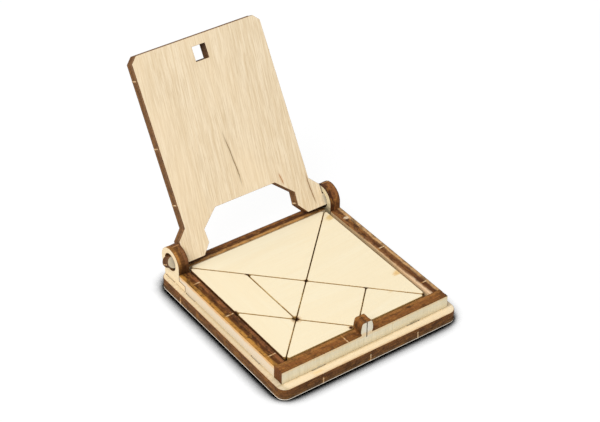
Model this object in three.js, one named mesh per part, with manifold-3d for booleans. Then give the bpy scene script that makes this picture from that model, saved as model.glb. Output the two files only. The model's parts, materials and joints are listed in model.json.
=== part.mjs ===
// A pocket tangram in a hinged box, all of it cut from one sheet of three-ply plywood.
// The base plate carries four walls and two hinge ears on through tenons. Each side wall ends
// on the toe of an ear. The lid turns on two tongues in the ears' round holes. Its heels stop
// it on the rear wall when it is open, and a split post on the front wall catches it when it
// is closed.
// Millimetres, +Z up. The origin is the middle of the tray at the base plate's underside,
// with X along the hinge and the latch towards -Y.

import * as THREE from 'three';
import { mergeVertices } from 'three/addons/utils/BufferGeometryUtils.js';
import Module from 'manifold-3d';

const wasm = await Module();
wasm.setup();

// Sheet and tray
const ply = 3;                    // thickness of the plywood, the same in every piece
const trayInside = 42;            // clear width and depth between the walls
const wallHeight = 3.3;           // front and side walls above the base plate
const ledgeSide = 1.5;            // base plate outside the side walls
const ledgeFront = 2.4;           // base plate in front of the front wall
const ledgeRear = 0.1;            // base plate behind the ears' feet
const baseCorner = 2.3;           // corner radius of the base plate

// Tenons and their slots
const tenonWidth = 3.4;
const tenonInset = 7.3;           // tray's corner to the middle of a tenon
const slotFit = 0.08;             // play round a tenon in its slot

// Hinge
const tongueWidth = 3;
const tongueFit = 0.18;           // play between a tongue's corners and the ear's hole
const tongueProud = 1.35;         // tongue end beyond the ear's outer face
const earRim = 1.5;               // wood round the hole
const earOverhang = 1.2;          // ear behind the end of its foot
const earToe = 2.6;               // foot in front of the ear's upright edge, under the side wall
const earToeHeight = 1.5;
const earSeam = 0.12;             // kerf between an ear and its side wall
const axisBehindRearWall = 0.1;   // hinge axis behind the middle of the rear wall
const openAngle = THREE.MathUtils.degToRad(121);
const heelGap = 0.3;              // between the open lid's heels and the rear wall

// Lid
const lidInset = 2.7;             // panel edge inside the inner face of a side wall
const lidLift = 0.1;              // running gap between the closed lid and the walls
const lidCorner = 1.6;            // clipped far corners
const lidEdgeBeyondLatch = 4.3;   // far edge beyond the middle of the latch hole
const legSideGap = 0.25;          // between a leg and its ear
const legShoulder = 6.5;          // hinge axis to where the lid narrows from leg to panel
const legFlareHeight = 2.5;       // height of the slope between panel and leg
const legWaist = 7.35;            // narrowest width of a leg
const legWaistHeight = 4.5;       // hinge axis to the waist
const legHeelExtraWidth = 0.2;    // a leg is this much wider above its heel
const legHeelHeight = 1.1;        // hinge axis to where the heel is cut back
const legHeelCut = 2.2;           // cut at the inner corner of the heel
const cutoutHeight = 8.6;         // hinge axis to the top edge of the cutout
const cutoutSlope = 4.6;          // sideways run of the slope in each upper corner

// Latch
const latchHeight = 3.5;          // post above the front wall
const latchNeck = 3.1;
const latchBulge = 3.5;
const latchTop = 2.9;
const latchBulgeHeight = 1.2;     // widest place of the post above the front wall
const latchRound = 0.5;           // rounding of the post's top corners
const latchSlit = 0.25;
const latchSlitFoot = 0.8;        // slit's end below the top of the front wall
const latchFit = 0.1;             // play beside the bulge in the lid's hole
const latchSwingGap = 0.35;       // play before and behind the post as the lid swings over it

// Tangram pieces
const puzzlePlay = 0.56;          // between the puzzle and each wall
const pieceGap = 0.22;            // kerf and play between two pieces
const tipRadius = 0.45;

// Straight steps in a round stretch: each arc takes twice its number.
const fineSteps = 20;
const cornerSteps = 3;

const cutOverrun = 1;             // how far a cut reaches past the faces of the sheet

// Places worked out from the sizes above
const trayHalf = trayInside / 2;
const boxHalf = trayHalf + ply;
const wallMiddle = trayHalf + ply / 2;
const wallTop = ply + wallHeight;
const tenonPlace = trayHalf - tenonInset;
const axisY = wallMiddle + axisBehindRearWall;
const axisZ = wallTop + lidLift + ply / 2;
const earHoleRadius = Math.hypot(tongueWidth, ply) / 2 + tongueFit;
const earRadius = earHoleRadius + earRim;
const earFootEnd = axisY + earRadius - earOverhang;
const earFront = axisY - earRadius;
const toeFront = earFront - earToe;
const toeTop = ply + earToeHeight;
const heelDepth = (tongueWidth * Math.sin(openAngle) - ply * Math.cos(openAngle)) / 2;
const rearWallTop = axisZ - heelDepth - heelGap;
const latchReach = axisY + wallMiddle;
const puzzleSide = trayInside - 2 * puzzlePlay;

const plywood = (color) => new THREE.MeshStandardMaterial({ color, roughness: 0.72, metalness: 0 });
const baseWood = plywood(0xf0dcb0);
const wallWood = plywood(0xe4d9bc);
const lidWood = plywood(0xeedab6);
const pieceWood = plywood(0xffeecd);

/** Turns a piece so that its outline's x, its y and its thickness run along three directions. */
function lay(mesh, right, up, out) {
  mesh.setRotationFromMatrix(new THREE.Matrix4().makeBasis(right, up, out));
  return mesh;
}

/** The sheet between two depths, along an outline, as a solid. */
function extruded(outline, from, to, curveSegments) {
  const settings = { depth: to - from, bevelEnabled: false, curveSegments };
  const geometry = new THREE.ExtrudeGeometry(outline, settings).translate(0, 0, from);
  geometry.deleteAttribute('normal');
  geometry.deleteAttribute('uv');
  const merged = mergeVertices(geometry);
  return new wasm.Manifold(new wasm.Mesh({
    numProp: 3,
    vertProperties: merged.attributes.position.array,
    triVerts: merged.index.array,
  }));
}

/** One piece of plywood: an outline as thick as the sheet, with cut-outs right through it. */
function cutPiece(name, outline, cutouts, material, curveSegments) {
  let body = extruded(outline, 0, ply, curveSegments);
  for (const cutout of cutouts) {
    body = body.subtract(extruded(cutout, -cutOverrun, ply + cutOverrun, curveSegments));
  }
  const { vertProperties, triVerts } = body.getMesh();
  const geometry = new THREE.BufferGeometry();
  geometry.setAttribute('position', new THREE.BufferAttribute(vertProperties, 3));
  geometry.setIndex(new THREE.BufferAttribute(triVerts, 1));
  geometry.computeVertexNormals();
  const mesh = new THREE.Mesh(geometry, material);
  mesh.name = name;
  return mesh;
}

/** Closed outline from its right half, which starts and ends at x = 0. */
function mirroredOutline(half) {
  const right = half.getPoints(fineSteps).filter((point) => point.x > 0);
  const left = right.map((point) => new THREE.Vector2(-point.x, point.y)).reverse();
  return new THREE.Shape([...right, ...left]);
}

/** Rectangle round a middle. */
function rectangle(x, y, width, height) {
  const w = width / 2;
  const h = height / 2;
  const corners = [[x - w, y - h], [x + w, y - h], [x + w, y + h], [x - w, y + h]];
  return new THREE.Shape(corners.map((corner) => new THREE.Vector2(...corner)));
}

/** Convex polygon drawn in by a margin on every side, with rounded corners. */
function trimmedPolygon(corners, margin, radius) {
  const points = corners.map((corner) => new THREE.Vector2(...corner));
  const count = points.length;
  const sides = points.map((point, i) => {
    const along = points[(i + 1) % count].clone().sub(point).normalize();
    const inward = new THREE.Vector2(-along.y, along.x);
    return { along, inward, start: point.clone().addScaledVector(inward, margin + radius) };
  });
  const shape = new THREE.Shape();
  sides.forEach((side, i) => {
    const before = sides[(i + count - 1) % count];
    const apart = side.start.clone().sub(before.start);
    const reach = apart.cross(side.along) / before.along.cross(side.along);
    const centre = before.start.clone().addScaledVector(before.along, reach);
    const from = Math.atan2(-before.inward.y, -before.inward.x);
    const to = Math.atan2(-side.inward.y, -side.inward.x);
    shape.absarc(centre.x, centre.y, radius, from, to, false);
  });
  shape.closePath();
  return shape;
}

/** Draws a tenon that reaches from a wall's foot down through the base plate. */
function addTenon(path, middle) {
  path.lineTo(middle - tenonWidth / 2, ply);
  path.lineTo(middle - tenonWidth / 2, 0);
  path.lineTo(middle + tenonWidth / 2, 0);
  path.lineTo(middle + tenonWidth / 2, ply);
}

/** Base plate: rounded corners, two slots under each wall and one under each ear. */
function basePlate() {
  const halfWidth = boxHalf + ledgeSide;
  const front = -boxHalf - ledgeFront;
  const rear = earFootEnd + ledgeRear;
  const corners = [[-halfWidth, front], [halfWidth, front], [halfWidth, rear], [-halfWidth, rear]];
  const shape = trimmedPolygon(corners, 0, baseCorner);
  const slotLength = tenonWidth + 2 * slotFit;
  const slotBreadth = ply + 2 * slotFit;
  const slots = [];
  for (const side of [-1, 1]) {
    for (const end of [-1, 1]) {
      const place = end * tenonPlace;
      slots.push(rectangle(place, side * wallMiddle, slotLength, slotBreadth));
      slots.push(rectangle(side * wallMiddle, place, slotBreadth, slotLength));
    }
    slots.push(rectangle(side * wallMiddle, axisY, slotBreadth, slotLength));
  }
  return cutPiece('base_plate', shape, slots, baseWood, cornerSteps);
}

/** Front wall: full width, with the split latch post standing on its middle. */
function frontWall() {
  const postTop = wallTop + latchHeight;
  const bulgeTop = wallTop + latchBulgeHeight;
  const swell = (wallTop + bulgeTop) / 2;
  const roundFoot = postTop - latchRound;
  const slitFoot = wallTop - latchSlitFoot;
  const half = new THREE.Path();
  half.moveTo(0, ply);
  addTenon(half, tenonPlace);
  half.lineTo(boxHalf, ply);
  half.lineTo(boxHalf, wallTop);
  half.lineTo(latchNeck / 2, wallTop);
  half.bezierCurveTo(latchNeck / 2, swell, latchBulge / 2, swell, latchBulge / 2, bulgeTop);
  half.quadraticCurveTo(latchBulge / 2, (bulgeTop + roundFoot) / 2, latchTop / 2, roundFoot);
  half.absarc(latchTop / 2 - latchRound, roundFoot, latchRound, 0, Math.PI / 2, false);
  half.lineTo(latchSlit / 2, postTop);
  half.lineTo(latchSlit / 2, slitFoot);
  half.absarc(0, slitFoot, latchSlit / 2, 0, -Math.PI / 2, true);
  return cutPiece('front_wall', mirroredOutline(half), [], wallWood);
}

/** Rear wall: a low strip between the side walls, under the lid's heels. */
function rearWall() {
  const half = new THREE.Path();
  half.moveTo(0, ply);
  addTenon(half, tenonPlace);
  half.lineTo(trayHalf, ply);
  half.lineTo(trayHalf, rearWallTop);
  half.lineTo(0, rearWallTop);
  return cutPiece('rear_wall', mirroredOutline(half), [], wallWood);
}

/** Side wall: a strip behind the front wall, with its rear end over the toe of the ear. */
function sideWall(name) {
  const shape = new THREE.Shape();
  shape.moveTo(-trayHalf, ply);
  addTenon(shape, -tenonPlace);
  addTenon(shape, tenonPlace);
  shape.lineTo(toeFront - earSeam, ply);
  shape.lineTo(toeFront - earSeam, toeTop + earSeam);
  shape.lineTo(earFront - earSeam, toeTop + earSeam);
  shape.lineTo(earFront - earSeam, wallTop);
  shape.lineTo(-trayHalf, wallTop);
  shape.closePath();
  return cutPiece(name, shape, [], wallWood);
}

/** Ear: a round hole for the lid's tongue, on a foot with a tenon and a toe. */
function ear(name) {
  const rearAngle = -Math.acos((earFootEnd - axisY) / earRadius);
  const shape = new THREE.Shape();
  shape.moveTo(toeFront, ply);
  addTenon(shape, axisY);
  shape.lineTo(earFootEnd, ply);
  shape.absarc(axisY, axisZ, earRadius, rearAngle, Math.PI, false);
  shape.lineTo(earFront, toeTop);
  shape.lineTo(toeFront, toeTop);
  shape.closePath();
  const hole = new THREE.Shape();
  hole.absarc(axisY, axisZ, earHoleRadius, 0, 2 * Math.PI, false);
  return cutPiece(name, shape, [hole], wallWood, fineSteps);
}

/** Lid: x along the hinge, y from the hinge axis to the far edge. */
function lid() {
  const far = latchReach + lidEdgeBeyondLatch;
  const panel = trayHalf - lidInset;
  const legOuter = trayHalf - legSideGap;
  const waist = legOuter - legWaist;
  const heel = waist - legHeelExtraWidth;
  const tongue = tongueWidth / 2;
  const half = new THREE.Path();
  half.moveTo(0, cutoutHeight);
  half.lineTo(waist - cutoutSlope, cutoutHeight);
  half.lineTo(waist, legWaistHeight);
  half.lineTo(heel, legHeelHeight);
  half.lineTo(heel + legHeelCut, -tongue);
  half.absarc(boxHalf + tongueProud - tongue, 0, tongue, -Math.PI / 2, Math.PI / 2, false);
  half.lineTo(legOuter, tongue);
  half.lineTo(legOuter, legShoulder - legFlareHeight);
  half.lineTo(panel, legShoulder);
  half.lineTo(panel, far - lidCorner);
  half.lineTo(panel - lidCorner, far);
  half.lineTo(0, far);
  const hole = rectangle(0, latchReach, latchBulge + 2 * latchFit, ply + 2 * latchSwingGap);
  return cutPiece('lid', mirroredOutline(half), [hole], lidWood);
}

// Corners of the eight pieces, as shares of the puzzle's side from its middle.
const pieceShares = {
  large_triangle_rear: [[0, 0], [0.5, 0.5], [-0.5, 0.5]],
  large_triangle_right: [[0, 0], [0.5, -0.5], [0.5, 0.5]],
  parallelogram: [[-0.5, 0.5], [-0.5, 0], [-0.25, -0.25], [-0.25, 0.25]],
  square: [[0, 0], [-0.25, -0.25], [0, -0.5], [0.25, -0.25]],
  small_triangle_inner: [[0, 0], [-0.25, 0.25], [-0.25, -0.25]],
  small_triangle_left: [[-0.25, -0.25], [-0.5, 0], [-0.5, -0.5]],
  small_triangle_front: [[-0.25, -0.25], [-0.5, -0.5], [0, -0.5]],
  small_triangle_right: [[0.25, -0.25], [0, -0.5], [0.5, -0.5]],
};

/** One loose piece of the puzzle, lying on the base plate. */
function puzzlePiece(name, shares) {
  const corners = shares.map(([x, y]) => [x * puzzleSide, y * puzzleSide]);
  const outline = trimmedPolygon(corners, pieceGap / 2, tipRadius);
  const mesh = cutPiece(name, outline, [], pieceWood, cornerSteps);
  mesh.position.z = ply;
  return mesh;
}

const X = new THREE.Vector3(1, 0, 0);
const Y = new THREE.Vector3(0, 1, 0);
const Z = new THREE.Vector3(0, 0, 1);
const leftwards = X.clone().negate();
const forwards = Y.clone().negate();

const tangramBox = new THREE.Group();
tangramBox.add(basePlate());

const front = lay(frontWall(), X, Z, forwards);
front.position.y = -trayHalf;
const rear = lay(rearWall(), X, Z, forwards);
rear.position.y = boxHalf;
tangramBox.add(front, rear);

for (const [side, place] of [['left', -boxHalf], ['right', trayHalf]]) {
  const wall = lay(sideWall(`${side}_wall`), Y, Z, X);
  wall.position.x = place;
  const hingeEar = lay(ear(`${side}_ear`), Y, Z, X);
  hingeEar.position.x = place;
  tangramBox.add(wall, hingeEar);
}

// The hinge axis runs through the middle of the lid's thickness.
const hinge = new THREE.Group();
hinge.position.set(0, axisY, axisZ);
hinge.rotation.x = -openAngle;
const lidPiece = lay(lid(), leftwards, forwards, Z);
lidPiece.position.z = -ply / 2;
hinge.add(lidPiece);
tangramBox.add(hinge);

for (const [name, shares] of Object.entries(pieceShares)) {
  tangramBox.add(puzzlePiece(name, shares));
}

export default tangramBox;
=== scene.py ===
"""Looks of a pocket tangram box that is cut from one sheet of three-ply plywood.

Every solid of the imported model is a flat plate. Each one is rebuilt here from its own outline
as a laser-cut plate with softened rims, three plies, burnt edges and the small bridges that
held it in its sheet. Millimetres inside the plates, metres in the scene.
"""

import json
import math
import random

import bmesh
import bpy
from mathutils import Matrix, Vector
from mathutils.geometry import delaunay_2d_cdt


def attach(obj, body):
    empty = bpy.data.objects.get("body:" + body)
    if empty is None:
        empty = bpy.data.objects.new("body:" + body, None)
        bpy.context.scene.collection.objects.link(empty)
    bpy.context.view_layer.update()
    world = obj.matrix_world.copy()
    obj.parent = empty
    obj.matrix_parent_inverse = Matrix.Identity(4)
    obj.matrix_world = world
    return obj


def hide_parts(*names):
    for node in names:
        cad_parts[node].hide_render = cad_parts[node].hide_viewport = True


MM = 0.001
PLY = 3.0  # thickness of the sheet
VENEER = PLY / 3  # thickness of each of its plies

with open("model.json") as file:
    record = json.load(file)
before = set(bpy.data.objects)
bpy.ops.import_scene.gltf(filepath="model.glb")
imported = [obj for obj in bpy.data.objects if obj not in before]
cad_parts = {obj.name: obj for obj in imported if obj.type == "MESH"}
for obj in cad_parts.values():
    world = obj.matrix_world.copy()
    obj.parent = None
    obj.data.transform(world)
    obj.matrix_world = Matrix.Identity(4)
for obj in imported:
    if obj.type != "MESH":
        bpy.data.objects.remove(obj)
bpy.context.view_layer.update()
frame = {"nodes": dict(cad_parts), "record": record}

# Shape of the plates

WELD = 1e-6  # metres within which two vertices are one
FLAT = 0.02  # how far a vertex of a face may lie off that face's plane
FACING = 0.9  # least cosine between a hint and the normal of a face that is meant by it
STRAIGHT = math.radians(0.2)  # a smaller bend isn't a corner of the outline
STEP = 0.9  # longest piece of a rim
SCORCH = 0.22  # reach of the browned rim on a face
CORNER = math.radians(35)  # an edge with a larger bend is shaded sharp
RIM_BEND = 0.3  # where a softened rim turns into the side, as a share of the rim
GLUE_HALF = 0.05  # half the height of a glue line's groove
GLUE_RECESS = 0.03  # depth of that groove
CORE_RECESS = 0.035  # how far the core ply lies back
BRIDGE_HALF = 0.14
BRIDGE_SLOPE = 0.08
BRIDGE_REACH = BRIDGE_HALF + BRIDGE_SLOPE
BRIDGE_ENDS = (-BRIDGE_REACH, -BRIDGE_HALF, BRIDGE_HALF, BRIDGE_REACH)
BRIDGE_ROOM = BRIDGE_REACH * 1.2  # how far other stations keep away from a bridge
BRIDGE_PROUD = 0.03
INSIDE = 1  # what delaunay_2d_cdt gives back: only the triangles within the outline


def plate_axes(node, out_hint, grain_hint, origin):
    """Matrix from the plate's own millimetres (along the grain, across it, out) to metres."""
    mesh = frame["nodes"][node].data
    hint = Vector(out_hint).normalized()
    facing = [p for p in mesh.polygons if p.normal.dot(hint) > FACING]
    out = max(facing, key=lambda p: p.area).normal.normalized()
    along = Vector(grain_hint)
    along = (along - out * along.dot(out)).normalized()
    across = out.cross(along)
    turn = Matrix((along, across, out)).transposed().to_4x4()
    start = Vector(origin) * MM
    low = min((v.co - start).dot(out) for v in mesh.vertices)
    return Matrix.Translation(start + out * low) @ turn @ Matrix.Scale(MM, 4)


def outlines(node, axes):
    """Closed outlines of the plate's outer face, with the wood on their left."""
    bm = bmesh.new()
    bm.from_mesh(frame["nodes"][node].data)
    bmesh.ops.remove_doubles(bm, verts=bm.verts, dist=WELD)
    bm.transform(axes.inverted())
    # A list keeps the order, so that an outline starts at the same vertex in each run.
    cap = [f for f in bm.faces if all(abs(v.co.z - PLY) < FLAT for v in f.verts)]
    following = {}
    for face in cap:
        for loop in face.loops:
            if sum(f in cap for f in loop.edge.link_faces) == 1:
                following[loop.vert] = loop.link_loop_next.vert
    loops = []
    while following:
        start = next(iter(following))
        loop = [start]
        vert = following.pop(start)
        while vert is not start:
            loop.append(vert)
            vert = following.pop(vert)
        loops.append(without_straight([v.co.xy.copy() for v in loop]))
    bm.free()
    return loops


def without_straight(loop):
    """The outline without the points that lie on a straight stretch."""
    kept = []
    for i, point in enumerate(loop):
        before = point - loop[i - 1]
        after = loop[(i + 1) % len(loop)] - point
        if before.length > FLAT / 10 and abs(before.angle_signed(after)) > STRAIGHT:
            kept.append(point)
    return kept


def place_bridges(loops, bridges):
    """The outline's sides that carry a bridge, with its places there, and the bridges' middles.

    On a side that is long enough, a bridge keeps clear of the corners.
    """
    clear = BRIDGE_REACH + SCORCH
    placed = {}
    middles = []
    for x, y in bridges:
        choices = []
        for k, loop in enumerate(loops):
            for i, start in enumerate(loop):
                side = loop[(i + 1) % len(loop)] - start
                margin = clear / side.length if side.length > 2 * clear else 0
                share = (Vector((x, y)) - start).dot(side) / side.length_squared
                share = min(max(share, margin), 1 - margin)
                off = (start + side * share - Vector((x, y))).length
                choices.append((off, k, i, share * side.length, start + side * share))
        _, k, i, place, middle = min(choices, key=lambda choice: choice[0])
        placed.setdefault((k, i), []).append(place)
        middles.append(middle)
    return placed, middles


def stations(loop, k, placed, bridges):
    """Points round the outline, close enough together, with how much of a bridge each is."""
    points = []
    for i, start in enumerate(loop):
        side = loop[(i + 1) % len(loop)] - start
        count = max(1, math.ceil(side.length / STEP))
        places = {side.length * n / count for n in range(count)}
        for middle in placed.get((k, i), []):
            places = {p for p in places if p == 0 or abs(p - middle) > BRIDGE_ROOM}
            places |= {middle + end for end in BRIDGE_ENDS}
        for place in sorted(p for p in places if 0 <= p < side.length):
            point = start + side * (place / side.length)
            near = min(((point - bridge).length for bridge in bridges), default=BRIDGE_REACH)
            points.append((point, min(max((BRIDGE_REACH - near) / BRIDGE_SLOPE, 0), 1)))
    return points


def outward(points):
    """For each point, the way out of the wood, so long that the rim moves by one."""
    ways = []
    for i, point in enumerate(points):
        before = (point - points[i - 1]).normalized()
        after = (points[(i + 1) % len(points)] - point).normalized()
        normal = Vector((before.y + after.y, -before.x - after.x))
        ways.append(normal / (1 + before.dot(after)))
    return ways


def rings(rim, foot):
    """Depths from the outer face down, how far each is cut in, and what it is."""
    low = rim * RIM_BEND
    rows = [(PLY, SCORCH, "face"), (PLY, rim, "rim"), (PLY - low, low, "side")]
    rows.append((PLY - rim, 0, "side"))
    for line, above, below in ((2 * VENEER, 0, CORE_RECESS), (VENEER, CORE_RECESS, 0)):
        rows.append((line + GLUE_HALF, above, "side"))
        rows.append((line, CORE_RECESS + GLUE_RECESS, "side"))
        rows.append((line - GLUE_HALF, below, "side"))
    low = foot * RIM_BEND
    rows += [(foot, 0, "side"), (low, low, "side"), (0, foot, "rim"), (0, SCORCH, "face")]
    return rows


def add_column(bm, layers, point, way, bridge, rows):
    """The vertices at one station of the outline, from the outer face down."""
    column = []
    for depth, cut, kind in rows:
        on_side = kind == "side"
        proud = bridge * BRIDGE_PROUD if on_side else 0
        flat = point + way * (proud - cut * (1 - bridge * on_side))
        vert = bm.verts.new((flat.x, flat.y, depth))
        vert[layers["side"]] = on_side
        vert[layers["scorch"]] = kind != "face"
        vert[layers["bridge"]] = bridge
        vert[layers["sheet"]] = vert.co
        column.append(vert)
    return column


def fill_face(bm, loops, upwards):
    """Closes a face of the plate between its outlines. Every hole in a plate is convex."""
    verts = [v for loop in loops for v in loop]
    outer = max(loops, key=lambda loop: max(v.co.xy.length for v in loop))
    hole_of = [0 if loop is outer else k + 1 for k, loop in enumerate(loops) for _ in loop]
    edges = []
    for loop in loops:
        first = len(edges)
        edges += [(first + i, first + (i + 1) % len(loop)) for i in range(len(loop))]
    flat = [v.co.xy.copy() for v in verts]
    _, _, triangles, sources, _, _ = delaunay_2d_cdt(flat, edges, [], INSIDE, FLAT / 1000)
    for triangle in triangles:
        corners = [sources[i][0] for i in triangle]
        holes = {hole_of[i] for i in corners}
        if holes == {0} or len(holes) > 1:
            corners = [verts[i] for i in corners]
            bm.faces.new(corners if upwards else corners[::-1])


def shade_smooth(bm, layers):
    """Smooth shading, apart from the rims' edges and the outline's corners."""
    side, scorch = layers["side"], layers["scorch"]
    for edge in bm.edges:
        on_rim = all(v[scorch] > 0.5 and v[side] < 0.5 for v in edge.verts)
        edge.smooth = not on_rim and edge.calc_face_angle(0) < CORNER
    for face in bm.faces:
        face.smooth = True


def build_plate(name, node, look):
    """The plate as a mesh object, and the matrix from the model to the plate's millimetres.

    The mesh carries the sheet coordinates and the marks of each vertex as attributes.
    """
    axes = plate_axes(node, look["out"], look["grain"], look["origin"])
    loops = outlines(node, axes)
    to_sheet = axes.inverted()
    marks = [(to_sheet @ (Vector(spot) * MM)).xy for spot in look["bridges"]]
    placed, middles = place_bridges(loops, marks)
    rows = rings(look["rim"], look["foot"])
    bm = bmesh.new()
    layers = {mark: bm.verts.layers.float.new(mark) for mark in ("side", "scorch", "bridge")}
    layers["sheet"] = bm.verts.layers.float_vector.new("sheet")
    top, bottom = [], []
    for k, loop in enumerate(loops):
        spots = stations(loop, k, placed, middles)
        ways = outward([point for point, _ in spots])
        columns = []
        for (point, bridge), way in zip(spots, ways):
            columns.append(add_column(bm, layers, point, way, bridge, rows))
        for a, b in zip(columns, columns[1:] + columns[:1]):
            for j in range(len(rows) - 1):
                bm.faces.new((a[j], a[j + 1], b[j + 1], b[j]))
        top.append([column[0] for column in columns])
        bottom.append([column[-1] for column in columns])
    fill_face(bm, top, True)
    fill_face(bm, bottom, False)
    shade_smooth(bm, layers)
    bm.transform(axes)
    mesh = bpy.data.meshes.new(name)
    bm.to_mesh(mesh)
    bm.free()
    plate = bpy.data.objects.new(name, mesh)
    bpy.context.scene.collection.objects.link(plate)
    return plate, to_sheet


# Shader nodes


def linear(rgb):
    """A colour of the screen, 0 to 255, as the light that the shaders work in."""
    shares = [c / 255 for c in rgb]
    return tuple(c / 12.92 if c <= 0.04045 else ((c + 0.055) / 1.055) ** 2.4 for c in shares) + (1,)


class Nodes:
    """Short names for the nodes of one tree, which is emptied first."""

    def __init__(self, owner):
        owner.use_nodes = True
        self.tree = owner.node_tree
        self.tree.nodes.clear()

    def new(self, kind, inputs=(), **settings):
        node = self.tree.nodes.new("ShaderNode" + kind)
        for key, value in settings.items():
            setattr(node, key, value)
        for key, value in dict(inputs).items():
            self.put(node.inputs[key], value)
        return node

    def put(self, socket, value):
        if isinstance(value, bpy.types.NodeSocket):
            self.tree.links.new(value, socket)
        else:
            socket.default_value = value

    def math(self, operation, a, b=0.0):
        return self.new("Math", {0: a, 1: b}, operation=operation).outputs[0]

    def add(self, a, b):
        return self.math("ADD", a, b)

    def subtract(self, a, b):
        return self.math("SUBTRACT", a, b)

    def multiply(self, a, b):
        return self.math("MULTIPLY", a, b)

    def larger(self, a, b):
        return self.math("MAXIMUM", a, b)

    def stretch(self, vector, scale):
        return self.new("VectorMath", {0: vector, 1: scale}, operation="MULTIPLY").outputs[0]

    def shift(self, vector, offset):
        return self.new("VectorMath", {0: vector, 1: offset}, operation="ADD").outputs[0]

    def noise(self, place, scale, detail=2.0, roughness=0.5):
        """Noise with so many waves to the millimetre along the grain, across it and in depth."""
        inputs = {"Vector": self.stretch(place, scale), "Scale": 1.0}
        inputs.update({"Detail": detail, "Roughness": roughness})
        return self.new("TexNoise", inputs).outputs["Fac"]

    def ramp(self, value, low, high, start=0.0, end=1.0):
        """From start to end in a soft step, while the value goes from low to high."""
        inputs = {"Value": value, "From Min": low, "From Max": high, "To Min": start, "To Max": end}
        return self.new("MapRange", inputs, interpolation_type="SMOOTHSTEP").outputs[0]

    def mix(self, share, a, b):
        node = self.new("Mix", data_type="RGBA")
        self.put(node.inputs["Factor"], share)
        self.put(node.inputs[6], a)
        self.put(node.inputs[7], b)
        return node.outputs[2]

    def band(self, value, middle, half, soft):
        """1 near a value, 0 further away."""
        off = self.math("ABSOLUTE", self.subtract(value, middle))
        return self.ramp(off, half, half + soft, 1.0, 0.0)

    def attribute(self, name, output):
        return self.new("Attribute", attribute_name=name).outputs[output]


# Plywood

# The colours of a look
TINTS = "light dark pore warm amber char torn arris outer_ply core_ply inner_ply".split()

# Noisy layers of a plate's colour: scale, detail and roughness of the noise, the values between
# which the layer sets in, and its tint. The look holds each layer's strength under its name.
LAYERS = {
    "figure": ((0.03, 0.45, 1.0), 3.0, 0.55, 0.38, 0.64, "dark"),
    "lines": ((0.09, 1.9, 1.0), 3.0, 0.65, 0.42, 0.68, "dark"),
    "fibres": ((0.5, 9.0, 1.0), 2.0, 0.5, 0.54, 0.74, "pore"),
    "threads": ((0.16, 4.2, 1.0), 2.0, 0.6, 0.32, 0.68, "pore"),
    "clouds": ((0.035, 0.05, 1.0), 2.0, 0.5, 0.42, 0.68, "warm"),
    "soot": ((0.4, 0.4, 0.7), 4.0, 0.6, 0.46, 0.62, "char"),
    "embers": ((0.5, 0.5, 1.6), 4.0, 0.65, 0.5, 0.66, "amber"),
    "hatch": ((2.6, 2.6, 0.8), 3.0, 0.65, 0.45, 0.65, "char"),
}
EMBERS_AWAY = (37, 5, 11)  # keeps the embers from following the soot
SHEET_SPREAD = 200  # how far from the noise's origin a plate's wood may lie
PLY_WANDER = 0.5  # how far the plies' borders wander on a burnt edge
PLY_BLEND = 0.25  # half the height over which two plies run into each other
GLUE_BAND = (0.03, 0.1)  # half height of a glue line's darkness, and its soft border
GLUE_DARK = 0.25
BORDER_BAND = (0.08, 0.25)  # the same for the dark upper and lower end of an edge
ARRIS_BAND = (0.17, 0.08)  # the same for a pale lower arris
BUMP_HEIGHT = 0.06 * MM
BUMP_STRENGTH = 0.5
GLOSS = 0.12


def layer(n, place, look, name, colour):
    """The colour with one of the noisy layers over it, and that layer's noise."""
    scale, detail, roughness, low, high, tint = LAYERS[name]
    noise = n.noise(place, scale, detail, roughness)
    return n.mix(n.ramp(noise, low, high, 0.0, look[name]), colour, look[tint]), noise


def veneer(n, place, look):
    """Colour and height of the sanded birch face."""
    warp = n.noise(place, (0.03, 0.12, 1.0), 1.0)
    sideways = n.multiply(n.subtract(warp, 0.5), look["waves"])
    place = n.shift(place, n.new("CombineXYZ", {"Y": sideways}).outputs[0])
    colour, _ = layer(n, place, look, "figure", look["light"])
    colour, lines = layer(n, place, look, "lines", colour)
    colour, fibres = layer(n, place, look, "fibres", colour)
    colour, _ = layer(n, place, look, "threads", colour)
    colour, _ = layer(n, place, look, "clouds", colour)
    return colour, n.add(n.multiply(lines, 0.6), n.multiply(fibres, 0.4))


def burnt_edge(n, place, depth, look):
    """Colour and height of the cut edge: three plies, their glue lines, soot and pale fibres."""
    wander = n.noise(place, (0.5, 0.5, 0.0))
    wavy = n.add(depth, n.multiply(n.subtract(wander, 0.5), PLY_WANDER))
    colour = look["inner_ply"]
    for line, ply in ((VENEER, "core_ply"), (2 * VENEER, "outer_ply")):
        above = n.ramp(wavy, line - PLY_BLEND, line + PLY_BLEND)
        colour = n.mix(above, colour, look[ply])
    colour, _ = layer(n, place, look, "soot", colour)
    colour, embers = layer(n, n.shift(place, EMBERS_AWAY), look, "embers", colour)
    colour, hatch = layer(n, place, look, "hatch", colour)
    glue = n.larger(n.band(wavy, VENEER, *GLUE_BAND), n.band(wavy, 2 * VENEER, *GLUE_BAND))
    border = n.larger(n.band(depth, 0.0, *BORDER_BAND), n.band(depth, PLY, *BORDER_BAND))
    dark = n.larger(n.multiply(glue, GLUE_DARK), n.multiply(border, look["border"]))
    colour = n.mix(dark, colour, look["char"])
    return colour, n.add(n.multiply(hatch, 0.7), n.multiply(embers, 0.3))


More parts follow.
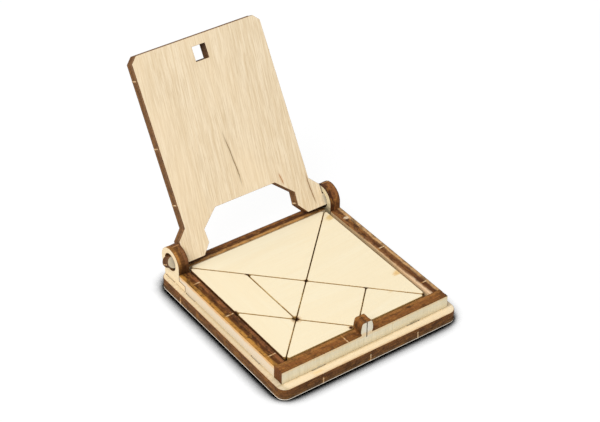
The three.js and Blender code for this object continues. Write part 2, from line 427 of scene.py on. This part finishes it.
def torn_bridges(n, place, depth, look, edge):
    """The edge's colour with torn pale wood on the bridges."""
    splinters = n.noise(place, (1.5, 1.5, 1.6), 3.0, 0.6)
    torn = n.mix(n.ramp(splinters, 0.4, 0.65), look["torn"], look["amber"])
    low, high = look["bridge_span"]
    above_foot = n.ramp(depth, low - 0.2, low + 0.2)
    below_head = n.ramp(depth, high - 0.25, high + 0.25, 1.0, 0.0)
    on_bridge = n.ramp(n.attribute("bridge", "Fac"), 0.3, 0.9)
    bridge = n.multiply(on_bridge, n.multiply(above_foot, below_head))
    return n.mix(n.multiply(bridge, n.ramp(splinters, 0.35, 0.7, 1.0, 0.5)), edge, torn)


def browned_rim(n, place, look, face):
    """The face's colour with its rim browned by the laser, here more and there less."""
    near_rim = n.ramp(n.attribute("scorch", "Fac"), 0.25, 1.0)
    patches = n.ramp(n.noise(place, (1.3, 1.3, 0.0)), 0.35, 0.7, 0.15, 1.0)
    browned = n.multiply(near_rim, patches)
    return n.mix(n.multiply(browned, look["scorch"]), face, look["amber"])


def plywood(name, look, seed, to_sheet):
    """Material of one plate: sanded faces, browned rims, burnt edges and pale bridges."""
    look = {key: linear(value) if key in TINTS else value for key, value in look.items()}
    material = bpy.data.materials.new(name)
    n = Nodes(material)
    dice = random.Random(seed)
    offset = [dice.uniform(-SHEET_SPREAD, SHEET_SPREAD) for _ in range(3)]
    sheet = n.attribute("sheet", "Vector")
    place = n.shift(sheet, offset)
    depth = n.new("SeparateXYZ", {0: sheet}).outputs[2]

    face, face_height = veneer(n, place, look)
    face = browned_rim(n, place, look, face)
    for draw in look["drawings"]:
        face = draw(n, sheet, place, face, to_sheet)

    edge, edge_height = burnt_edge(n, place, depth, look)
    for draw in look["burns_and_painted_light"]:
        edge = draw(n, sheet, place, edge, to_sheet)
    edge = torn_bridges(n, place, depth, look, edge)
    if "arris" in look:
        edge = n.mix(n.band(depth, 0.0, *ARRIS_BAND), edge, look["arris"])

    on_side = n.ramp(n.attribute("side", "Fac"), 0.35, 0.75)
    height = n.add(n.multiply(on_side, edge_height), n.multiply(0.5, face_height))
    relief = {"Height": height, "Distance": BUMP_HEIGHT, "Strength": BUMP_STRENGTH}
    surface = {
        "Base Color": n.mix(on_side, face, edge),
        "Roughness": n.ramp(face_height, 0.3, 0.8, 0.58, 0.72),
        "Normal": n.new("Bump", relief).outputs[0],
        "Specular IOR Level": GLOSS,
    }
    shader = n.new("BsdfPrincipled", surface)
    output = n.new("OutputMaterial", {"Surface": shader.outputs[0]})
    output.is_active_output = True
    return material


# Marks. Each one gives a function that draws it over the colour of a face or an edge.


def fine_line(spots, width, rgb, strength, halo):
    """A mineral streak, a crack or one dark grain line on the outer face.

    The line runs along the grain through points of the model, in millimetres. It is width
    wide in the middle and runs out at both ends. The halo is the strength of its soft border.
    """

    def draw(n, sheet, place, face, to_sheet):
        colour = linear(rgb)
        points = sorted(tuple((to_sheet @ (Vector(spot) * MM)).xy) for spot in spots)
        along, across, depth = n.new("SeparateXYZ", {0: sheet}).outputs
        low, high = points[0][0], points[-1][0]
        share = n.new("MapRange", {"Value": along, "From Min": low, "From Max": high}).outputs[0]
        curve = n.new("FloatCurve", {"Value": share})
        reach = max(abs(y) for _, y in points) + 1
        line = curve.mapping.curves[0]
        line.points[0].location = (0, 0.5 + points[0][1] / reach / 2)
        line.points[1].location = (1, 0.5 + points[-1][1] / reach / 2)
        for x, y in points[1:-1]:
            line.points.new((x - low) / (high - low), 0.5 + y / reach / 2)
        curve.mapping.update()
        middle = n.multiply(n.subtract(curve.outputs[0], 0.5), 2 * reach)
        shiver = n.noise(place, (1.2, 1.2, 0.0), 3.0)
        middle = n.add(middle, n.multiply(n.subtract(shiver, 0.5), width * 1.5))
        off = n.math("ABSOLUTE", n.subtract(across, middle))
        fade = n.multiply(n.ramp(share, 0.0, 0.35), n.ramp(share, 0.65, 1.0, 1.0, 0.0))
        outer = n.math("GREATER_THAN", depth, PLY / 2)
        glow = n.multiply(n.ramp(off, 0.0, width * 4, halo, 0.0), fade)
        face = n.mix(n.multiply(glow, outer), face, colour)
        core = n.multiply(n.ramp(off, width * 0.2, width, 1.0, 0.0), fade)
        return n.mix(n.multiply(n.multiply(core, strength), outer), face, colour)

    return draw


def stain_and_painted_light(spot, size, rgb, strength, core=0.2):
    """A soft spot at a point of the model, full up to the share core of its reach.

    Its size is along the grain, across it and in depth. It draws real stains and burns, and painted
    light and shade alike.
    """

    def draw(n, sheet, place, colour, to_sheet):
        middle = to_sheet @ (Vector(spot) * MM)
        off = n.stretch(n.shift(sheet, -middle), [2 / width for width in size])
        length = n.new("VectorMath", {0: off}, operation="LENGTH").outputs["Value"]
        ragged = n.noise(place, (0.6, 1.6, 0.8), 3.0)
        length = n.add(length, n.subtract(ragged, 0.5))
        return n.mix(n.ramp(length, core, 1.0, strength, 0.0), colour, linear(rgb))

    return draw


PIECE_TOP = 2 * PLY  # height of the tangram pieces' upper faces
# burnt, and darker still as painted shade of the holes where tips meet
TIP_BURN_AND_SHADE = (64, 32, 8)
TIP_RING = (206, 152, 82)
# painted shade in the gap between the puzzle's left rim and the left wall
RIM_GAP_SHADE = (78, 34, 8)  # at the puzzle's left rim
# painted light: pale walls for narrow kerfs, so that they look less shaded
KERF_PAINTED_LIGHT = (255, 226, 168)

# Where tips of tangram pieces meet
QUARTER = 10.2  # a quarter of the puzzle's side
CENTRE = (0, 0)
REAR_LEFT = (-QUARTER, QUARTER)
FRONT_RIGHT = (QUARTER, -QUARTER)
CROSS = (-QUARTER, -QUARTER)
LEFT_SIDE = (-2 * QUARTER, 0)
LEFT_CORNER = (-2 * QUARTER, -2 * QUARTER)
FRONT_SIDE = (-1.5, -19.9)


def tips(*spots, size=1.2):
    """The dark spots where the tips of pieces meet, burnt and darkened further as painted shade of
    the hole between the tips, each with a browned ring.
    """
    ring_size, burn_size = (size * 1.6, size * 1.6, 2.0), (size, size, 2.0)
    ring = [stain_and_painted_light((*spot, PIECE_TOP), ring_size, TIP_RING, 0.7) for spot in spots]
    return ring + [stain_and_painted_light((*spot, PIECE_TOP), burn_size, TIP_BURN_AND_SHADE, 1.0, 0.5) for spot in spots]


def kerf(x, y, length, rgb, strength):
    """A kerf between two pieces that is browner than the rest about its middle; a paler one is
    painted light on its walls.
    """
    return stain_and_painted_light((x, y, PIECE_TOP), (length, length, 8.0), rgb, strength)


CROSSING = tips(CROSS, size=2.2)
# Edges are burnt where tips meet, and darker as painted shade of the gap. CROSS comes twice:
# darkest.
MEETINGS = (CENTRE, REAR_LEFT, FRONT_RIGHT, LEFT_SIDE, LEFT_CORNER, CROSS, CROSS)
SINGED_AND_SHADED = [stain_and_painted_light((*spot, PIECE_TOP), (1.7, 1.7, 8.0), TIP_BURN_AND_SHADE, 0.9, 0.5) for spot in MEETINGS]

KERF_LARGE = kerf(10, 10, 22.0, (92, 66, 24), 0.75)  # between the two large triangles
# The kerfs below are paler: painted light on their walls, so that these narrow kerfs look less
# shaded.
KERF_RIGHT = kerf(17, -10.2, 14.0, KERF_PAINTED_LIGHT, 0.8)  # large_triangle_right, small_triangle_right
KERF_FRONT = kerf(5.1, -15.3, 12.0, KERF_PAINTED_LIGHT, 0.6)  # square, small_triangle_right
KERF_LEFT = kerf(-15, -14.4, 13.0, KERF_PAINTED_LIGHT, 0.95)  # small_triangle_left, small_triangle_front
KERF_INNER = kerf(-5.1, -5.1, 11.0, (255, 230, 168), 0.9)  # square, small_triangle_inner
KERF_MIDDLE = kerf(-10.2, 0, 12.0, (246, 222, 160), 0.6)  # parallelogram, small_triangle_inner

# The plates' looks. Points are in millimetres of the model, colours are those of the screen.

HINGE_LINE = (0.0, 22.6, 7.9)
OPEN_ANGLE = math.radians(121)
LID_UP = (0.0, -math.cos(OPEN_ANGLE), math.sin(OPEN_ANGLE))


def on_lid(x, v):
    """A point of the lid: x along the hinge, v from the hinge axis to the far edge."""
    return tuple(a + b * v + c * x for a, b, c in zip(HINGE_LINE, LID_UP, (1, 0, 0)))


LID_BRIDGES = ((-19, 43.6), (-19, 26.6), (-19, 12.3), (19, 40), (19, 18), (13.3, 1.3), (-26, -0.3))
STREAK = ((-0.1, 9.4), (0, 14.6), (-0.25, 17.5), (-0.4, 20.1), (-0.7, 22.6), (-1, 26.2))
NOTCH_LINE = ((11.1, 6.8), (10.9, 8.6), (10.4, 10.8))
LEG_LINE = ((18.6, -1.4), (18, 3), (17.9, 9))

WOOD = {
    "origin": (0, 0, 0),
    "rim": 0.06,
    "foot": 0.06,
    "light": (254, 235, 199),
    "dark": (242, 218, 176),
    "pore": (214, 184, 136),
    "warm": (253, 228, 186),
    "figure": 0.35,
    "lines": 0.6,
    "fibres": 0.25,
    "clouds": 0.5,
    "threads": 0.0,
    "waves": 1.5,
    "outer_ply": (150, 98, 48),
    "core_ply": (104, 62, 30),
    "inner_ply": (134, 84, 44),
    "amber": (196, 136, 66),
    "char": (48, 26, 8),
    "torn": (228, 198, 156),
    "soot": 0.45,
    "embers": 0.35,
    "hatch": 0.3,
    "border": 0.3,
    "scorch": 0.25,
    "bridge_span": (0.2, 2.2),
    "bridges": (),
    "drawings": (),
    "burns_and_painted_light": (),
}

SIDE = {**WOOD, "out": (-1, 0, 0), "grain": (0, 1, 0)}

TANGRAM = {
    **WOOD,
    "out": (0, 0, 1),
    "rim": 0.09,
    "light": (252, 239, 207),
    "dark": (249, 232, 195),
    "pore": (238, 214, 172),
    "warm": (252, 235, 199),
    "lines": 0.4,
    "fibres": 0.15,
    "outer_ply": (182, 144, 84),
    "core_ply": (120, 82, 40),
    "inner_ply": (84, 50, 20),
    "amber": (190, 144, 70),
    "scorch": 0.55,
    "soot": 0.2,
    "border": 0.0,
}

LOOKS = {
    "base_plate": {
        **WOOD,
        "out": (0, 0, 1),
        "grain": (1, 0, 0),
        "rim": 0.14,
        "foot": 0.03,
        "light": (247, 228, 194),
        "dark": (240, 218, 180),
        "warm": (246, 225, 189),
        "outer_ply": (122, 77, 38),
        "core_ply": (114, 74, 40),
        "inner_ply": (106, 76, 46),
        "arris": (248, 238, 222),
        "bridge_span": (0.1, 2.0),
        "bridges": [(-14, -27, 0), (-0.5, -27, 0), (13.4, -27, 0), (-26, 16, 0), (26, -8, 0)],
        "drawings": [
            # painted shade on the ledge at the left, its rim, the rim in front, and painted shade
            # along the feet of both walls
            stain_and_painted_light((-24.6, -2, 3), (4.4, 90.0, 2.0), (214, 197, 165), 0.8),
            stain_and_painted_light((-25.5, -2, 3), (1.1, 90.0, 2.0), (206, 168, 126), 0.7),
            stain_and_painted_light((0, -26.4, 3), (90.0, 1.5, 2.0), (206, 166, 116), 0.6),
            stain_and_painted_light((-24, -2, 3), (1.3, 90.0, 2.0), (200, 180, 140), 0.7),
            stain_and_painted_light((0, -24, 3), (90.0, 1.4, 2.0), (206, 184, 142), 0.85),
            # one amber spot on the front ledge
            stain_and_painted_light((-14.6, -25.2, 3), (5.0, 1.6, 2.0), (246, 208, 140), 0.5),
        ],
    },
    "front_wall": {
        **WOOD,
        "out": (0, -1, 0),
        "grain": (0, 0, 1),
        "light": (255, 245, 215),
        "dark": (234, 223, 188),
        "pore": (198, 184, 150),
        "warm": (247, 236, 204),
        "outer_ply": (134, 84, 38),
        "core_ply": (144, 90, 44),
        "inner_ply": (164, 110, 56),
        "torn": (216, 176, 130),
        "bridge_span": (0.1, 2.9),
        "bridges": [(-5.3, -22, 7)],
        "drawings": [
            # the pale post, the browned upper rim, painted shade along the foot, and a dark spot in
            # it
            stain_and_painted_light((0.4, -24, 8), (7.0, 5.0, 2.0), (252, 246, 230), 0.8),
            stain_and_painted_light((0, -24, 6.3), (1.8, 160.0, 2.0), (252, 216, 160), 0.6),
            stain_and_painted_light((0, -24, 3), (2.6, 160.0, 2.0), (214, 198, 160), 0.35),
            stain_and_painted_light((13.8, -24, 3.2), (1.2, 4.0, 2.0), (150, 134, 84), 0.4),
        ],
        "burns_and_painted_light": [
            # the left end, painted shadow on the post's left side, painted light on the front of
            # its slit, a spot on the upper edge
            stain_and_painted_light((-24, -22.5, 4.6), (9.0, 1.2, 9.0), (96, 54, 30), 0.75),
            stain_and_painted_light((-2, -22.5, 8), (4.4, 1.6, 8.0), (66, 40, 14), 0.8),
            stain_and_painted_light((0, -24, 7.6), (6.0, 0.7, 2.2), (206, 202, 184), 0.9),
            stain_and_painted_light((13.8, -21.9, 6.3), (2.0, 2.2, 1.2), (62, 34, 12), 0.8),
        ],
    },
    "rear_wall": {
        **WOOD,
        "out": (0, -1, 0),
        "grain": (1, 0, 0),
        "outer_ply": (206, 152, 88),
        "core_ply": (92, 54, 24),
        "inner_ply": (134, 86, 48),
    },
    "left_wall": {
        **SIDE,
        "light": (239, 222, 198),
        "dark": (231, 214, 186),
        "pore": (214, 196, 162),
        "warm": (241, 220, 188),
        "outer_ply": (200, 142, 64),
        "core_ply": (92, 52, 20),
        "inner_ply": (138, 86, 50),
        "scorch": 0.4,
        "soot": 0.7,
        "bridges": [(-22, 13.8, 7), (-22, -0.35, 7), (-22, -17.5, 7)],
        "drawings": [
            # the browned upper rim, and painted shade along the foot
            stain_and_painted_light((-24, -3, 6.3), (120.0, 2.4, 2.0), (238, 182, 106), 0.8),
            stain_and_painted_light((-24, -3, 3), (120.0, 3.0, 2.0), (214, 203, 178), 0.5),
        ],
    },
    "left_ear": {
        **SIDE,
        "outer_ply": (186, 128, 64),
        "core_ply": (116, 74, 38),
        "inner_ply": (134, 88, 54),
        "border": 0.45,
        "scorch": 0.4,
        "torn": (176, 130, 86),
        "bridges": [(-22, 23, 12)],
        # the upright edge in front
        "burns_and_painted_light": [stain_and_painted_light((-22.5, 18.6, 6.4), (5.0, 9.0, 12.0), (58, 32, 10), 0.8)],
    },
    "right_wall": {
        **SIDE,
        "outer_ply": (140, 92, 52),
        "core_ply": (116, 72, 38),
        "inner_ply": (204, 162, 112),
        "soot": 0.6,
        "embers": 0.5,
        "bridge_span": (0.6, 2.4),
        "bridges": [(22, 14.3, 7), (22, -0.2, 7), (22, -16.6, 7)],
        "drawings": [
            # painted shade over the inner face, and its pale upper rim in front
            stain_and_painted_light((21, -2, 5.6), (160.0, 16.0, 2.0), (194, 164, 120), 0.85),
            stain_and_painted_light((21, -18, 6.3), (34.0, 2.2, 2.0), (250, 214, 172), 0.85),
        ],
        "burns_and_painted_light": [
            # on the upper edge: the dark core in front, the pale band along the inner face,
            # and a torn splinter
            stain_and_painted_light((22.6, -17, 6.3), (22.0, 40.0, 2.4), (80, 42, 18), 0.7),
            stain_and_painted_light((21, -20, 6.3), (34.0, 40.0, 2.0), (240, 204, 164), 0.95),
            stain_and_painted_light((21, -4, 6.3), (34.0, 40.0, 0.9), (226, 188, 144), 0.8),
            stain_and_painted_light((22.3, 13.4, 6.3), (1.4, 2.0, 1.6), (60, 34, 14), 0.9),
            stain_and_painted_light((22.6, 14.4, 6.3), (1.3, 2.0, 1.9), (252, 238, 208), 0.95),
        ],
    },
    "right_ear": {
        **SIDE,
        "outer_ply": (88, 48, 22),
        "core_ply": (146, 92, 50),
        "inner_ply": (140, 90, 50),
        "soot": 0.55,
        "embers": 0.5,
        "border": 0.6,
        "bridges": [(22, 24, 12)],
        "drawings": [
            # painted shade: the inner face greyed, and a darker spot on it in front of the hole
            stain_and_painted_light((21, 22.6, 8), (60.0, 60.0, 2.0), (214, 203, 172), 0.85),
            stain_and_painted_light((21, 20.4, 5.4), (9.0, 7.0, 2.0), (130, 116, 86), 0.85),
        ],
        # the hole's edge near black
        "burns_and_painted_light": [stain_and_painted_light((22, 23.4, 9.5), (5.0, 5.0, 6.0), (22, 12, 4), 0.95, 0.6)],
    },
    "lid": {
        **WOOD,
        "out": (0, -1, 0.5),
        "grain": tuple(up + aside for up, aside in zip(LID_UP, (0.09, 0, 0))),
        "origin": HINGE_LINE,
        "light": (255, 237, 206),
        "dark": (240, 216, 177),
        "pore": (208, 178, 132),
        "warm": (254, 231, 194),
        "figure": 0.15,
        "lines": 0.6,
        "fibres": 0.45,
        "threads": 0.45,
        "outer_ply": (140, 100, 64),
        "core_ply": (124, 86, 52),
        "inner_ply": (132, 94, 60),
        "soot": 0.35,
        "embers": 0.2,
        "border": 0.4,
        "bridges": [on_lid(*spot) for spot in LID_BRIDGES],
        "drawings": [
            # the long streak above the cut-out, and two short lines at the right
            fine_line([on_lid(*spot) for spot in STREAK], 0.17, (126, 94, 48), 0.9, 0.25),
            fine_line([on_lid(*spot) for spot in NOTCH_LINE], 0.2, (182, 118, 52), 0.9, 0.3),
            fine_line([on_lid(*spot) for spot in LEG_LINE], 0.2, (140, 96, 44), 0.9, 0.2),
            # the shaded faces of both tongues
            stain_and_painted_light(on_lid(-24, 0), (9.0, 6.0, 30.0), (196, 186, 162), 0.95),
            stain_and_painted_light(on_lid(22, 0), (8.0, 5.0, 30.0), (212, 202, 176), 0.7),
        ],
        "burns_and_painted_light": [
            # the latch hole and the left tongue's end
            stain_and_painted_light(on_lid(0, 45.1), (9.0, 9.0, 30.0), (62, 36, 12), 0.7),
            stain_and_painted_light(on_lid(-25.2, 0), (8.0, 7.0, 30.0), (84, 50, 26), 0.7),
        ],
    },
    "large_triangle_rear": {
        **TANGRAM,
        "grain": (1, 0, 0),
        "drawings": tips(CENTRE),
        "burns_and_painted_light": [
            *SINGED_AND_SHADED,
            KERF_LARGE,
            stain_and_painted_light((-20.44, 19, 4.5), (1.0, 40.0, 20.0), RIM_GAP_SHADE, 0.9),
        ],
    },
    "large_triangle_right": {
        **TANGRAM,
        "grain": (1, 0.1, 0),
        "drawings": [
            *tips(CENTRE),
            # two amber spots at the right rim
            stain_and_painted_light((19.6, 17.2, 6), (4.0, 3.0, 2.0), (224, 186, 104), 0.7),
            stain_and_painted_light((19.7, -10.0, 6), (3.4, 2.6, 2.0), (232, 184, 104), 0.75),
        ],
        "burns_and_painted_light": [KERF_LARGE, KERF_RIGHT, *SINGED_AND_SHADED],
    },
    "parallelogram": {
        **TANGRAM,
        "grain": (0, 1, 0),
        "drawings": [*tips(REAR_LEFT, LEFT_SIDE), *CROSSING],
        "burns_and_painted_light": [
            KERF_MIDDLE,
            stain_and_painted_light((-20.44, 9, 4.5), (80.0, 1.0, 20.0), RIM_GAP_SHADE, 0.9),
            *SINGED_AND_SHADED,
        ],
    },
    "square": {
        **TANGRAM,
        "grain": (1, 0, 0),
        "drawings": [*tips(CENTRE, FRONT_RIGHT, FRONT_SIDE), *CROSSING],
        "burns_and_painted_light": [KERF_FRONT, KERF_INNER, *SINGED_AND_SHADED],
    },
    "small_triangle_inner": {
        **TANGRAM,
        "grain": (1, 0, 0),
        "drawings": [*tips(REAR_LEFT, CENTRE), *CROSSING],
        "burns_and_painted_light": [KERF_INNER, KERF_MIDDLE, *SINGED_AND_SHADED],
    },
    "small_triangle_left": {
        **TANGRAM,
        "grain": (0, 1, 0),
        "drawings": [*tips(LEFT_SIDE, LEFT_CORNER), *CROSSING],
        "burns_and_painted_light": [
            KERF_LEFT,
            stain_and_painted_light((-20.44, -10, 4.5), (80.0, 1.0, 20.0), RIM_GAP_SHADE, 0.9),
            *SINGED_AND_SHADED,
        ],
    },
    "small_triangle_front": {
        **TANGRAM,
        "grain": (1, 0, 0),
        "drawings": [*tips(LEFT_CORNER, FRONT_SIDE), *CROSSING],
        "burns_and_painted_light": [KERF_LEFT, *SINGED_AND_SHADED],
    },
    "small_triangle_right": {
        **TANGRAM,
        "grain": (1, 0.1, 0),
        "drawings": [
            *tips(FRONT_RIGHT),
            # an amber spot at the front rim
            stain_and_painted_light((15.56, -14.55, 6), (5.0, 1.2, 2.0), (222, 178, 96), 0.6),
        ],
        "burns_and_painted_light": [KERF_FRONT, KERF_RIGHT, *SINGED_AND_SHADED],
    },
}

body_of = {n: b for b, nodes in frame["record"]["behaviour"]["bodies"].items() for n in nodes}

for seed, (node, look) in enumerate(LOOKS.items()):
    plate, to_sheet = build_plate(node + "_plate", node, look)
    plate.data.materials.append(plywood(node + "_plywood", look, seed, to_sheet))
    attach(plate, body_of[node])
    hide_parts(node)

# Floor, light and camera, in metres

FLOOR_HALF = 2.0
SHADOW_REACH = 0.0075
SHADOW_DEEP, SHADOW_END = 0.61, 0.89  # openness to the sky between which the floor turns white
FLOOR_LIT, FLOOR_GLOW = 0.1, 0.93  # what the camera sees: a little of the light, and a glow
PAPER = 0.7  # what the floor throws back on the box
SKY_LIGHT = 0.5
KEY_PLACE = (-0.51, -0.18, 0.66)
KEY_SIZE = 0.5
KEY_POWER = 5.0

# The camera that was fitted to the photograph. It stands DISTANCE from the origin, moved
# sideways by ASIDE and up by RAISED in its own picture plane.
AZIMUTH = math.radians(-35.9816)
ELEVATION = math.radians(36.7828)
ROLL = math.radians(0.7253)
DISTANCE = 438.8543 * MM
ASIDE = -1.4072 * MM
RAISED = 21.5063 * MM
FOCAL_PIXELS = 1821.6775
PICTURE_PIXELS = 600
SENSOR_WIDTH = 36.0  # millimetres
NEAREST = 0.01  # anything nearer isn't drawn


def grey(level):
    """A grey in linear light."""
    return (level, level, level, 1)


def make_floor():
    """A plain white floor, with a painted shadow where the box stands on it: what the camera sees
    darkens where the floor is less open to the sky.
    """
    bm = bmesh.new()
    corners = [(-1, -1), (1, -1), (1, 1), (-1, 1)]
    bm.faces.new([bm.verts.new((x * FLOOR_HALF, y * FLOOR_HALF, 0)) for x, y in corners])
    mesh = bpy.data.meshes.new("floor")
    bm.to_mesh(mesh)
    bm.free()
    floor = bpy.data.objects.new("floor", mesh)
    bpy.context.scene.collection.objects.link(floor)
    material = bpy.data.materials.new("floor_white")
    n = Nodes(material)
    open_sky = n.new("AmbientOcclusion", {"Distance": SHADOW_REACH}, samples=16).outputs["AO"]
    shade = n.ramp(open_sky, SHADOW_DEEP, SHADOW_END)
    lit = n.new("BsdfDiffuse", {"Color": n.mix(shade, grey(0.0), grey(FLOOR_LIT))})
    glow = n.new("Emission", {"Color": n.mix(shade, grey(0.0), grey(FLOOR_GLOW))})
    seen = n.new("AddShader", {0: lit.outputs[0], 1: glow.outputs[0]})
    paper = n.new("BsdfDiffuse", {"Color": grey(PAPER)})
    by_camera = n.new("LightPath").outputs["Is Camera Ray"]
    shader = n.new("MixShader", {0: by_camera, 1: paper.outputs[0], 2: seen.outputs[0]})
    n.new("OutputMaterial", {"Surface": shader.outputs[0]})
    mesh.materials.append(material)


def make_world():
    """A white background that lights the box with less than it shows."""
    world = bpy.data.worlds.new("studio")
    bpy.context.scene.world = world
    n = Nodes(world)
    path = n.new("LightPath")
    seen = n.larger(path.outputs["Is Camera Ray"], path.outputs["Is Glossy Ray"])
    seen = n.larger(seen, path.outputs["Is Transmission Ray"])
    sky = n.new("Background", {"Color": grey(1), "Strength": SKY_LIGHT})
    white = n.new("Background", {"Color": grey(1), "Strength": 1.0})
    shader = n.new("MixShader", {0: seen, 1: sky.outputs[0], 2: white.outputs[0]})
    n.new("OutputWorld", {"Surface": shader.outputs[0]})


def make_lamp():
    """A soft square lamp at the upper left, turned to the box."""
    lamp = bpy.data.lights.new("key", "AREA")
    lamp.shape = "SQUARE"
    lamp.size = KEY_SIZE
    lamp.energy = KEY_POWER
    holder = bpy.data.objects.new("key", lamp)
    holder.location = KEY_PLACE
    holder.rotation_euler = (-Vector(KEY_PLACE)).to_track_quat("-Z", "Y").to_euler()
    bpy.context.scene.collection.objects.link(holder)


def make_camera():
    """The photograph's viewpoint."""
    flat = math.cos(ELEVATION)
    back = Vector((math.sin(AZIMUTH) * flat, -math.cos(AZIMUTH) * flat, math.sin(ELEVATION)))
    level = Vector((math.cos(AZIMUTH), math.sin(AZIMUTH), 0))
    upright = back.cross(level)
    right = level * math.cos(ROLL) + upright * math.sin(ROLL)
    up = upright * math.cos(ROLL) - level * math.sin(ROLL)
    lens = bpy.data.cameras.new("camera")
    lens.sensor_width = SENSOR_WIDTH
    lens.lens = FOCAL_PIXELS * lens.sensor_width / PICTURE_PIXELS
    lens.clip_start = NEAREST
    holder = bpy.data.objects.new("camera", lens)
    bpy.context.scene.collection.objects.link(holder)
    turn = Matrix((right, up, back)).transposed().to_4x4()
    place = back * DISTANCE + right * ASIDE + up * RAISED
    holder.matrix_world = Matrix.Translation(place) @ turn
    bpy.context.scene.camera = holder


make_floor()
make_world()
make_lamp()
make_camera()
bpy.context.scene.view_settings.view_transform = "Standard"
